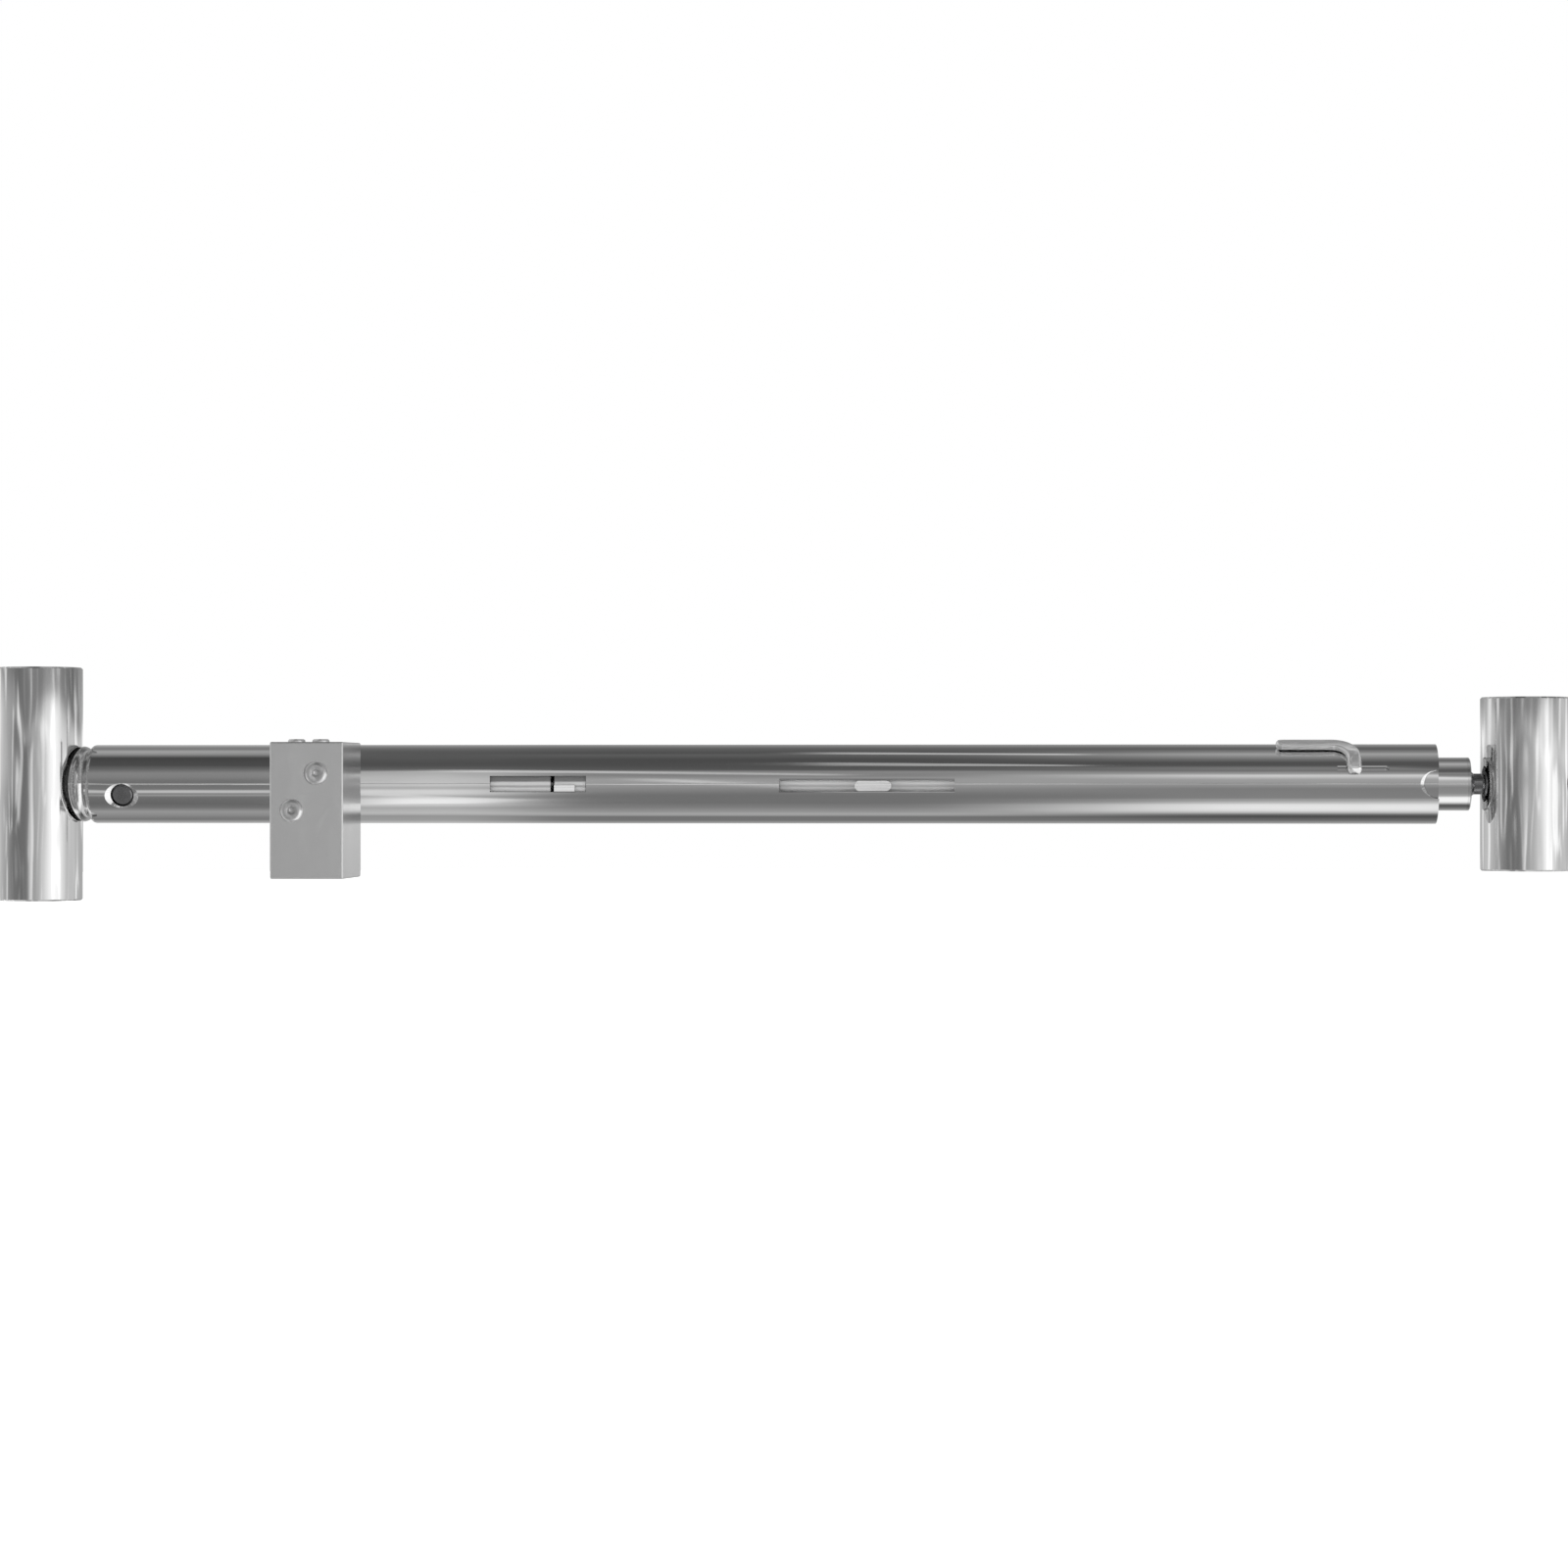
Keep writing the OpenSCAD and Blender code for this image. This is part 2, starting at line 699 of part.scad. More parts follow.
// Ball, neck and collar, cut to the right foot's curve
module ball_stud() {
  foot_face = foot_span - foot_r;
  color([0.5, 0.5, 0.51]) difference() {
    union() {
      translate([ball_x, 0, 0]) sphere(r = ball_r);
      rod_x(ball_x, foot_face + 2, neck_r);
      rod_x(ball_x + 7.2, ball_x + 8.9, collar_r);
      cone_x(ball_x + 8.9, ball_x + 10.5, collar_r, neck_r);
    }
    translate([foot_span, 0, 0]) cylinder(r = foot_r + 0.02, h = 4 * neck_r, center = true);
    rod_x(ball_x + 2, foot_span, screw_r + 0.02);
  }
}

module right_foot_tube() {
  color([0.70, 0.71, 0.72]) foot_tube(foot_span, right_foot_h, -1);
}

module right_foot_screw() {
  color([0.62, 0.63, 0.64]) foot_screw(foot_span, foot_span - ball_x - 3, -1);
}

module right_access_plug() {
  color([0.08, 0.08, 0.09]) access_plug(foot_span, -1);
}

main_tube();
left_foot_tube();
left_foot_screw();
left_access_plug();
saddle_gasket();
left_spigot();
snap_button();
button_spring();
stop_block();
block_bolts();
block_lock_screws();
bolt_anchor();
rod_bush_left();
rod_bush_right();
adjuster_rod();
adjuster_slug();
adjuster_key();
main_spring();
plunger_tube();
plunger_guide();
travel_key();
finger_hook();
hook_shoe();
hook_rivet();
end_bush();
end_bush_screw();
socket_plug();
socket_cap();
ball_seat();
ball_stud();
right_foot_tube();
right_foot_screw();
right_access_plug();
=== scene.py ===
"""Looks for a window security bar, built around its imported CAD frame.

The frame gives every node's place. This script gives each shown node a finish, replaces the
nodes whose real shape has rounder edges than the CAD solid, and sets up a plain pale studio.
Metres, with the frame's axes: +X runs along the bar to the right foot, +Z is up, -Y is the front.
"""

import math

import bmesh
import bpy
from mathutils import Matrix, Vector


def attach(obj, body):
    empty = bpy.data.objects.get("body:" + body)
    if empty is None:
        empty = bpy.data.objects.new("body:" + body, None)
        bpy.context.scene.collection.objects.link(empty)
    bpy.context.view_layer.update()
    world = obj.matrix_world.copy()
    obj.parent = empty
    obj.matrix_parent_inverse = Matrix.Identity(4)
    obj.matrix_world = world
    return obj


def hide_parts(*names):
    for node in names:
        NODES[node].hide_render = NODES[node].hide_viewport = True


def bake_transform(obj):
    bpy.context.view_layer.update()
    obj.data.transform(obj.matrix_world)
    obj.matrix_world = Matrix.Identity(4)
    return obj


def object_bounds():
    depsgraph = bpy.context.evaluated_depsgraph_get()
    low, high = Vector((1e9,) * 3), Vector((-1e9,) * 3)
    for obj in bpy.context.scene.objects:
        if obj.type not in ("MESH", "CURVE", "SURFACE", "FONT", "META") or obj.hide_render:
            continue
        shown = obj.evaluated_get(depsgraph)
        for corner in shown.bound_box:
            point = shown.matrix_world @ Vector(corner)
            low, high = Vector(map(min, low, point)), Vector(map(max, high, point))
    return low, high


bl_info = {
    "name": "Window security bar",
    "version": (1, 0, 0),
    "blender": (4, 5, 0),
    "location": "View3D > Sidebar > Security Bar",
    "description": "Finishes, fasteners, springs and studio of a window security bar",
    "category": "Add Mesh",
}

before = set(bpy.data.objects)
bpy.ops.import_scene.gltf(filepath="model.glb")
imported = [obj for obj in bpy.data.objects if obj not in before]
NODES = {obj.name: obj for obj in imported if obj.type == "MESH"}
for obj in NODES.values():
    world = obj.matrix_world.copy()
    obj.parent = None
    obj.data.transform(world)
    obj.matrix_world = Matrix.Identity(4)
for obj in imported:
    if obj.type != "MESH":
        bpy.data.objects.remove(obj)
CAD_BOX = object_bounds()
MM = 0.001

# Finger hook: the places along and round the bar that its strap runs through, counted from
# HOOK_TURN above the front, and the tab that goes down through the bar's slot.
HOOK_IN_R = 19.5 * MM
HOOK_TURN = math.radians(45)
HOOK_TIP = 601.8 * MM
HOOK_ARM = 6.2 * MM
HOOK_ARM_R = 10.7 * MM
HOOK_BEND = 638.5 * MM
HOOK_LEG = 5.6 * MM
# How far down the leg each ring of its end is, and its share of the width there
HOOK_FOOT = ((0.5, 1.0), (0.85, 1.0), (0.93, 0.97), (0.98, 0.88), (1.0, 0.7))
TAB_HALF = 1.4 * MM
TAB_EDGE = 0.5 * MM
TAB_TURN = math.radians(22.2)
TAB_IN = 16.3 * MM
TAB_OUT = 21.4 * MM
# Stop block's bolts: where their heads' faces are
BOLT_PLACES = ((149.1 * MM, -66.95 * MM, 5.1 * MM), (137.5 * MM, -66.95 * MM, -12.5 * MM))
# Coil springs: where the wire's middle starts and ends, and which way the button points
MAIN_START = 272.5 * MM
MAIN_END = 337.5 * MM
BUTTON_X = 45.1 * MM
BUTTON_START = 4.6 * MM
BUTTON_LENGTH = 6.1 * MM
BUTTON_TURN = math.radians(18.2)


# ---------------------------------------------------------------- shader expressions


class Val:
    """One output of a node tree; arithmetic on a number or a grey adds Math nodes."""

    def __init__(self, tree, socket):
        self.tree = tree
        self.socket = socket

    def math(self, operation, *others, clamp=False):
        settings = {"operation": operation, "use_clamp": clamp}
        return self.tree.node("ShaderNodeMath", settings, dict(enumerate((self, *others))))

    def __add__(self, other):
        return self.math("ADD", other)

    def __mul__(self, other):
        return self.math("MULTIPLY", other)

    def __sub__(self, other):
        return self.math("SUBTRACT", other)

    def __rsub__(self, other):
        return self.tree.node("ShaderNodeMath", {"operation": "SUBTRACT"}, {0: other, 1: self})

    def __truediv__(self, other):
        return self.math("DIVIDE", other)

    def __rtruediv__(self, other):
        return self.tree.node("ShaderNodeMath", {"operation": "DIVIDE"}, {0: other, 1: self})

    __radd__ = __add__
    __rmul__ = __mul__


class Tree:
    """A shader node tree: node() adds any node and wraps the output that is asked for."""

    def __init__(self, tree):
        self.tree = tree
        tree.nodes.clear()

    def node(self, kind, settings=None, values=None, out=0):
        new = self.tree.nodes.new(kind)
        for key, value in (settings or {}).items():
            if key == "stops":
                self.set_stops(new.color_ramp, value)
            else:
                setattr(new, key, value)
        for key, value in (values or {}).items():
            if isinstance(value, Val):
                self.tree.links.new(value.socket, new.inputs[key])
            else:
                new.inputs[key].default_value = value
        return Val(self, new.outputs[out]) if new.outputs else None

    @staticmethod
    def set_stops(ramp, stops):
        """stops are (position, grey) or (position, (r, g, b))."""
        while len(ramp.elements) > 1:
            ramp.elements.remove(ramp.elements[-1])
        for i, (position, shade) in enumerate(stops):
            element = ramp.elements[0] if i == 0 else ramp.elements.new(position)
            element.position = position
            rgb = shade if isinstance(shade, tuple) else (shade, shade, shade)
            element.color = (*rgb, 1)

    def smooth(self, value, low, high):
        """0 below low, 1 above high, eased between; low and high may be outputs too."""
        settings = {"interpolation_type": "SMOOTHSTEP"}
        values = {0: value, 1: low, 2: high, 3: 0.0, 4: 1.0}
        return self.node("ShaderNodeMapRange", settings, values)

    def mix(self, factor, a, b):
        """Colour between a and b."""
        return self.node("ShaderNodeMix", {"data_type": "RGBA"}, {0: factor, 6: a, 7: b}, 2)

    def noise(self, scale, detail=2.0, roughness=0.5, coords=None):
        """Noise on Object coordinates, stretched by scale, a triple in cycles a metre."""
        place = coords or self.node("ShaderNodeTexCoord", out=3)
        stretched = self.node("ShaderNodeMapping", None, {0: place, 3: scale})
        values = {"Vector": stretched, "Scale": 1.0, "Detail": detail, "Roughness": roughness}
        return self.node("ShaderNodeTexNoise", None, values)

    def bump(self, height, strength, distance, normal=None):
        values = {"Strength": strength, "Distance": distance, "Height": height}
        if normal:
            values["Normal"] = normal
        return self.node("ShaderNodeBump", None, values)


def rgba(shade):
    """A colour socket's value from a grey level or a triple."""
    return (shade, shade, shade, 1) if isinstance(shade, float) else (*shade[:3], 1)


def new_surface(name):
    """An empty material and its tree."""
    material = bpy.data.materials.new(name)
    material.use_nodes = True
    return material, Tree(material.node_tree)


def close_surface(tree, values):
    """Ends a material's tree in a Principled shader with these socket values."""
    shader = tree.node("ShaderNodeBsdfPrincipled", None, values)
    tree.node("ShaderNodeOutputMaterial", None, {0: shader})


# ---------------------------------------------------------------- finishes

# Draw lines along the bar and up the feet: how much finer they repeat on each axis.
ALONG_BAR = (1.0, 90.0, 90.0)
UPRIGHT = (90.0, 90.0, 1.0)
# Grain of each polished piece: the lay of its draw lines, its slow waves in cycles a metre on
# each axis, and how high the waves stand.
BAR_GRAIN = (ALONG_BAR, (3.0, 50.0, 50.0), 0.12 * MM)
SHOE_GRAIN = (ALONG_BAR, (3.0, 50.0, 50.0), 0.10 * MM)
KEY_GRAIN = (ALONG_BAR, (3.0, 50.0, 50.0), 0.30 * MM)
HOOK_GRAIN = (ALONG_BAR, (90.0, 90.0, 90.0), 1.6 * MM)
FOOT_GRAIN = (UPRIGHT, (70.0, 70.0, 12.0), 1.0 * MM)
# Painted highlight and shade bands on the rod and the plunger, by height: the light bands are
# painted highlights, the dark ones painted shade, darkest along the top of the rod. 0 and 1 are
# half a span below and above the bar's axis.
BAND_SPAN = 10.0 * MM
ROD_PAINTED_BANDS = (
    (0.0, 0.4), (0.14, 0.45), (0.18, 0.90), (0.31, 1.0), (0.36, 0.45), (0.42, 0.40),
    (0.46, 0.85), (0.56, 0.90), (0.61, 0.30), (0.64, 0.0), (1.0, 0.0),
)
PLUNGER_PAINTED_BANDS = (
    (0.0, 0.6), (0.16, 0.70), (0.22, 1.0), (0.32, 1.0), (0.38, 0.62), (0.44, 0.60), (0.52, 1.0),
    (0.62, 1.0), (0.68, 0.80), (1.0, 0.70),
)


def polished_steel(name, colour, rough, lay, waves, depth, metal=1.0):
    """Polished stainless tube: draw lines along lay, slow waves depth high, faint hazy patches."""
    material, tree = new_surface(name)
    lines = tree.noise(tuple(12.0 * s for s in lay), 3.0, 0.6)
    ripples = tree.noise(waves, 1.0, 0.4)
    haze = tree.noise(tuple(8.0 if s == 1.0 else 0.5 * s for s in lay), 4.0, 0.6)
    slow = tree.bump(ripples, 1.0, depth)
    normal = tree.bump(lines, 0.03, 0.0002, slow)
    marks = tree.smooth(haze, 0.35, 0.75)
    close_surface(
        tree,
        {
            "Base Color": tree.mix(marks, rgba(colour), rgba(tuple(0.93 * c for c in colour))),
            "Metallic": metal,
            "Roughness": rough + marks * 0.04,
            "Normal": normal,
        },
    )
    return material


def banded_steel(name, colour, rough, painted_bands, until):
    """Steel with painted highlight and shade bands at given heights as far as until, where it is
    also less metallic and rougher.
    """
    material, tree = new_surface(name)
    place = tree.node("ShaderNodeTexCoord", out=3)
    along, height = (tree.node("ShaderNodeSeparateXYZ", None, {0: place}, axis) for axis in (0, 2))
    # Span up to until that takes the painted bands and the less metallic, rougher steel.
    painted_span = 1 - tree.smooth(along, until, until + 0.02)
    wander = tree.noise((30.0, 400.0, 400.0), 3.0, 0.6)
    share = height / BAND_SPAN + 0.5 + (wander - 0.5) * 0.10
    shade = tree.node("ShaderNodeValToRGB", {"stops": painted_bands}, {0: share})
    # Painted shade: the colour darkens where a band is low; the bands left at full colour are
    # painted highlights.
    painted_shade = (1 - shade) * painted_span
    lines = tree.noise((12.0, 1100.0, 1100.0), 3.0, 0.6)
    close_surface(
        tree,
        {
            "Base Color": tree.mix(painted_shade, rgba(colour), rgba(tuple(0.3 * c for c in colour))),
            "Metallic": 1 - painted_span * 0.4,
            "Roughness": rough + painted_span * 0.15,
            "Normal": tree.bump(lines, 0.05, 0.0002),
        },
    )
    return material


def turned_steel(name, colour, rough):
    """Machined steel for small parts: fine tool marks and darker, rougher rubbed patches."""
    material, tree = new_surface(name)
    marks = tree.noise((1400.0, 1400.0, 1400.0), 3.0, 0.7)
    wear = tree.smooth(tree.noise((160.0, 160.0, 160.0), 4.0, 0.6), 0.4, 0.7)
    close_surface(
        tree,
        {
            "Base Color": tree.mix(wear, rgba(colour), rgba(tuple(0.8 * c for c in colour))),
            "Metallic": 1.0,
            "Roughness": rough + wear * 0.1,
            "Normal": tree.bump(marks, 0.12, 0.0001),
        },
    )
    return material


def block_alloy(name, colour, rough):
    """Milled aluminium: even grey with a fine cross grain and a few lighter rubs."""
    material, tree = new_surface(name)
    grain = tree.noise((2600.0, 2600.0, 500.0), 3.0, 0.6)
    rubs = tree.smooth(tree.noise((60.0, 60.0, 30.0), 5.0, 0.65), 0.45, 0.75)
    lighter = tuple(min(1.0, 1.06 * c) for c in colour)
    close_surface(
        tree,
        {
            "Base Color": tree.mix(rubs, rgba(colour), rgba(lighter)),
            "Metallic": 1.0,
            "Roughness": rough + grain * 0.08 - rubs * 0.02,
            "Normal": tree.bump(grain, 0.06, 0.0001),
        },
    )
    return material


def moulded_black(name, shade, rough, grit):
    """Black plastic or rubber with a fine moulded grit and dull scuffs."""
    material, tree = new_surface(name)
    grit_noise = tree.noise((grit, grit, grit), 2.0, 0.5)
    scuffs = tree.smooth(tree.noise((220.0, 220.0, 220.0), 5.0, 0.7), 0.5, 0.75)
    close_surface(
        tree,
        {
            "Base Color": tree.mix(scuffs, rgba(shade), rgba(2.4 * shade)),
            "Roughness": rough + scuffs * 0.12,
            "Normal": tree.bump(grit_noise, 0.25, 0.0002),
        },
    )
    return material


def dress(names, material):
    """Gives CAD nodes a finish."""
    for name in names:
        for slot in NODES[name].material_slots:
            slot.material = material


# ---------------------------------------------------------------- shapes


def add_piece(name, mesh, body, node, material):
    """Links a finished mesh as the piece that stands for a CAD node."""
    piece = bpy.data.objects.new(name, mesh)
    bpy.context.scene.collection.objects.link(piece)
    for polygon in mesh.polygons:
        polygon.use_smooth = True
    if not mesh.materials:
        mesh.materials.append(material)
    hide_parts(node)
    if body:
        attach(piece, body)
    return piece


def skin(rings, work):
    """Joins rings of points, all of one length, into a closed skin with fans at both ends."""
    loops = [[work.verts.new(point) for point in ring] for ring in rings]
    count = len(loops[0])
    for a, b in zip(loops, loops[1:]):
        for i in range(count):
            j = (i + 1) % count
            work.faces.new((a[i], a[j], b[j], b[i]))
    for loop in (loops[0], loops[-1]):
        hub = work.verts.new(sum((v.co for v in loop), Vector()) / count)
        for i in range(count):
            work.faces.new((loop[i], loop[(i + 1) % count], hub))


def mesh_of(name, work):
    """A plain mesh from the work so far, with its normals outward."""
    bmesh.ops.recalc_face_normals(work, faces=work.faces)
    mesh = bpy.data.meshes.new(name)
    work.to_mesh(mesh)
    work.free()
    return mesh


def round_section(half_w, half_t, corner, steps=6):
    """Points of a rounded rectangle, as (across, out)."""
    points = []
    for quarter, (sx, sy) in enumerate(((1, 1), (-1, 1), (-1, -1), (1, -1))):
        for i in range(steps + 1):
            turn = math.pi / 2 * (quarter + i / steps)
            across = sx * (half_w - corner) + corner * math.cos(turn)
            points.append((across, sy * (half_t - corner) + corner * math.sin(turn)))
    return points


def hook_path(half):
    """Middle line of the hook's strap on the bar, as (along, round, direction, share of width)."""
    path = []
    for i in range(9):
        turn = math.pi / 2 * i / 8
        along = HOOK_TIP + half * (1 - math.cos(turn))
        path.append((along, HOOK_ARM, 0.0, max(0.12, math.sin(turn))))
    middle = HOOK_BEND - HOOK_ARM_R
    for i in range(1, 6):
        path.append((HOOK_TIP + half + (middle - HOOK_TIP - half) * i / 6, HOOK_ARM, 0.0, 1.0))
    for i in range(17):
        turn = math.pi / 2 * i / 16
        along = middle + HOOK_ARM_R * math.sin(turn)
        path.append((along, HOOK_ARM - HOOK_ARM_R * (1 - math.cos(turn)), turn, 1.0))
    for down, share in HOOK_FOOT:
        drop = HOOK_ARM_R + HOOK_LEG * down
        path.append((HOOK_BEND, HOOK_ARM - drop, math.pi / 2, share))
    return path


def hook_mesh(shape):
    """Bent strap with rounded edges, wrapped round the bar, and its tab into the slot."""
    work = bmesh.new()
    half = 0.5 * shape.strap_width
    section = round_section(half, 0.5 * shape.strap_thickness, shape.strap_edge)
    middle_r = HOOK_IN_R + 0.5 * shape.strap_thickness
    rings = []
    for along, round_bar, turn, share in hook_path(half):
        ring = []
        for across, out in section:
            u = along + share * across * math.sin(turn)
            v = round_bar + share * across * math.cos(turn)
            radius = middle_r + out * min(1.0, 0.25 + share)
            angle = HOOK_TURN + math.asin(v / radius)
            ring.append((u, -radius * math.cos(angle), radius * math.sin(angle)))
        rings.append(ring)
    skin(rings, work)
    tab = round_section(half, TAB_HALF, TAB_EDGE, 3)
    rings = []
    for radius in (TAB_IN, TAB_OUT):
        ring = []
        for across, off in tab:
            y = -radius * math.cos(TAB_TURN) - off * math.sin(TAB_TURN)
            z = radius * math.sin(TAB_TURN) - off * math.cos(TAB_TURN)
            ring.append((HOOK_BEND + across, y, z))
        rings.append(ring)
    skin(rings, work)
    return mesh_of("finger_hook_strap", work)


def bolt_mesh():
    """Socket-head bolt along Z with its head's face at z = 0 and its shank below."""
    work = bmesh.new()
    sides = 48
    # radius, height and how six-sided the ring is
    profile = (
        (0.2, -2.0, 1.0), (2.0, -2.0, 1.0), (2.0, -0.12, 1.0), (2.15, 0.0, 1.0), (3.5, 0.0, 0.0),
        (3.9, -0.07, 0.0), (4.85, -0.72, 0.0), (5.15, -1.05, 0.0), (5.25, -1.4, 0.0),
        (5.25, -3.0, 0.0), (3.0, -3.0, 0.0), (3.0, -57.5, 0.0), (2.4, -58.0, 0.0),
    )
    rings = []
    for radius, height, six in profile:
        ring = []
        for i in range(sides):
            turn = 2 * math.pi * i / sides
            flat = (turn + math.pi / 6) % (math.pi / 3) - math.pi / 6
            reach = radius * (1 - six + six * math.cos(math.pi / 6) / math.cos(flat))
            ring.append((reach * math.cos(turn) * MM, reach * math.sin(turn) * MM, height * MM))
        rings.append(ring)
    skin(rings, work)
    return mesh_of("bolt", work)


def socket(tree, name, kind, direction="INPUT"):
    """Adds a named socket to a geometry tree and returns its identifier."""
    return tree.tree.interface.new_socket(name, in_out=direction, socket_type=kind).identifier


def geometry_tree(name, sockets):
    """A new geometry tree with named inputs, as (tree, inputs by name, identifiers by name)."""
    tree = Tree(bpy.data.node_groups.new(name, "GeometryNodeTree"))
    socket(tree, "Geometry", "NodeSocketGeometry", "OUTPUT")
    identifiers = {label: socket(tree, label, kind) for label, kind in sockets.items()}
    inputs = {label: tree.node("NodeGroupInput", out=i) for i, label in enumerate(sockets)}
    return tree, inputs, identifiers


def close_geometry(tree, geometry, material):
    """Ends a geometry tree in Realize Instances and Set Material."""
    real = tree.node("GeometryNodeRealizeInstances", None, {"Geometry": geometry})
    done = tree.node("GeometryNodeSetMaterial", None, {"Geometry": real, "Material": material})
    tree.node("NodeGroupOutput", None, {0: done})


def coil_tree():
    """Helical wire along Z from its coil radius, wire radius, length and turns."""
    tree, inputs, identifiers = geometry_tree(
        "coil",
        {
            "Coil Radius": "NodeSocketFloat",
            "Wire Radius": "NodeSocketFloat",
            "Length": "NodeSocketFloat",
            "Turns": "NodeSocketFloat",
            "Material": "NodeSocketMaterial",
        },
    )
    radius = inputs["Coil Radius"]
    helix = tree.node(
        "GeometryNodeCurveSpiral",
        None,
        {
            "Resolution": 40, "Rotations": inputs["Turns"], "Start Radius": radius,
            "End Radius": radius, "Height": inputs["Length"],
        },
    )
    circle = {"Resolution": 14, "Radius": inputs["Wire Radius"]}
    wire = tree.node("GeometryNodeCurvePrimitiveCircle", None, circle)
    swept = {"Curve": helix, "Profile Curve": wire, "Fill Caps": True}
    close_geometry(tree, tree.node("GeometryNodeCurveToMesh", None, swept), inputs["Material"])
    return tree, identifiers


def pair_tree():
    """Two copies of one object, standing at two places."""
    tree, inputs, identifiers = geometry_tree(
        "pair",
        {
            "Piece": "NodeSocketObject",
            "First Place": "NodeSocketVector",
            "Second Place": "NodeSocketVector",
            "Turn": "NodeSocketVector",
            "Material": "NodeSocketMaterial",
        },
    )
    places = tree.node(
        "GeometryNodeMeshLine",
        {"mode": "END_POINTS"},
        {"Count": 2, "Start Location": inputs["First Place"], "Offset": inputs["Second Place"]},
    )
    one = tree.node("GeometryNodeObjectInfo", None, {"Object": inputs["Piece"]}, "Geometry")
    copies = {"Points": places, "Instance": one, "Rotation": inputs["Turn"]}
    copies = tree.node("GeometryNodeInstanceOnPoints", None, copies)
    close_geometry(tree, copies, inputs["Material"])
    return tree, identifiers


def grown(name, tree, identifiers, values):
    """Plain mesh that a geometry tree makes with these input values."""
    seed = bpy.data.objects.new(name, bpy.data.meshes.new(name))
    bpy.context.scene.collection.objects.link(seed)
    modifier = seed.modifiers.new("grow", "NODES")
    modifier.node_group = tree.tree
    for label, value in values.items():
        modifier[identifiers[label]] = value
    bpy.context.view_layer.update()
    depsgraph = bpy.context.evaluated_depsgraph_get()
    mesh = bpy.data.meshes.new_from_object(seed.evaluated_get(depsgraph))
    bpy.data.objects.remove(seed)
    mesh.name = name
    return mesh


# ---------------------------------------------------------------- studio

# The room that the steel mirrors. Each wall is the brightness seen at an angle about the bar:
# 0 is straight ahead of the front, 90 overhead, -90 below and 180 behind.
WALL_LEFT = (
    (-180, 0.45), (-152, 0.45), (-130, 0.22), (-110, 0.30), (-90, 0.38), (-74, 0.20),
    (-60, 0.16), (-47, 0.18), (-39, 0.20), (-33, 0.40), (-29, 0.22), (-25, 0.62), (-20, 0.62),
    (-16, 0.22), (-5, 0.20), (8, 0.20), (20, 0.27), (32, 0.29), (44, 0.17), (58, 0.09),
    (84, 0.07), (92, 0.20), (98, 0.33), (112, 0.45), (126, 0.24), (139, 0.28), (152, 0.45),
    (180, 0.45),
)
WALL_BLOCK = (
    (-180, 0.50), (-152, 0.56), (-137, 0.42), (-110, 0.36), (-96, 0.62), (-86, 0.58),
    (-74, 0.50), (-62, 0.78), (-48, 0.72), (-38, 0.46), (-30, 0.80), (-20, 0.82), (-12, 0.52),
    (-4, 0.72), (14, 0.68), (26, 0.60), (36, 0.52), (41, 0.16), (60, 0.10), (82, 0.12),
    (110, 0.12), (130, 0.18), (152, 0.34), (180, 0.50),
)
WALL_MIDDLE = (
    (-180, 0.40), (-152, 0.38), (-137, 0.22), (-114, 0.20), (-100, 0.48), (-88, 0.36),
    (-72, 0.26), (-56, 0.20), (-34, 0.20), (-14, 0.30), (0, 0.40), (14, 0.38), (26, 0.26),
    (36, 0.30), (42, 0.12), (60, 0.09), (78, 0.09), (94, 0.14), (104, 0.10), (130, 0.15),
    (152, 0.30), (180, 0.40),
)
WALL_RIGHT = (
    (-180, 0.38), (-152, 0.40), (-134, 0.20), (-123, 0.15), (-109, 0.08), (-100, 0.20),
    (-93, 0.55), (-84, 0.92), (-74, 1.02), (-62, 0.96), (-54, 0.42), (-40, 0.27), (-14, 0.25),
    (0, 0.38), (14, 0.44), (21, 0.66), (26, 0.80), (31, 0.38), (38, 0.20), (47, 0.24),
    (56, 0.10), (66, 0.10), (74, 0.17), (86, 0.30), (97, 0.44), (108, 0.26), (123, 0.13),
    (134, 0.16), (152, 0.32), (180, 0.38),
)
# The same for the upright feet, by the angle round from the front towards the right.
WALL_ROUND_HIGH = (
    (-180, 0.36), (-148, 0.36), (-103, 0.42), (-85, 0.26), (-56, 0.22), (-38, 0.17),
    (-20, 0.22), (4, 0.23), (26, 0.18), (46, 0.26), (63, 0.34), (78, 0.25), (108, 0.16),
    (132, 0.24), (156, 0.36), (180, 0.36),
)
WALL_ROUND_LOW = (
    (-180, 0.46), (-148, 0.52), (-125, 0.64), (-103, 0.60), (-85, 0.41), (-70, 0.30),
    (-56, 0.22), (-38, 0.17), (-24, 0.19), (-8, 0.33), (4, 0.44), (18, 0.54), (30, 0.72),
    (40, 1.05), (52, 1.25), (64, 1.10), (76, 0.82), (92, 0.60), (110, 0.66), (132, 0.54),
    (156, 0.48), (180, 0.46),
)
# Soft strip lamps: angle about the bar, half width at its left and right end, in degrees, where
# it starts and stops, by how far the mirrored ray leans along the bar, and its strength.
STRIPS = (
    # angle, angle, half, half, start, stop, strength
    (-46, -50, 16, 2, -0.165, -0.128, 0.30),
    (40, 27, 4, 2, -0.152, -0.050, 0.34),
    (14, -19, 4, 3, -0.100, -0.040, 0.36),
    (103, 97, 5, 3, -0.055, 0.012, 0.40),
    (62, 56, 5, 2, -0.055, 0.012, 0.36),
)
# Where each wall gives way to the next, by how far the mirrored ray leans along the bar.
WALLS = (
    (-0.183, -0.177, WALL_BLOCK), (-0.150, -0.112, WALL_MIDDLE), (-0.035, 0.060, WALL_RIGHT),
)
# The feet's walls are seen by rays that lean far along the bar or lie nearly level, and the low
# one gives way to the high one as the ray rises.
FEET_SIDE = (0.26, 0.36)
FEET_LEVEL = (0.031, 0.036)
LOW_TO_HIGH = (0.006, 0.024)
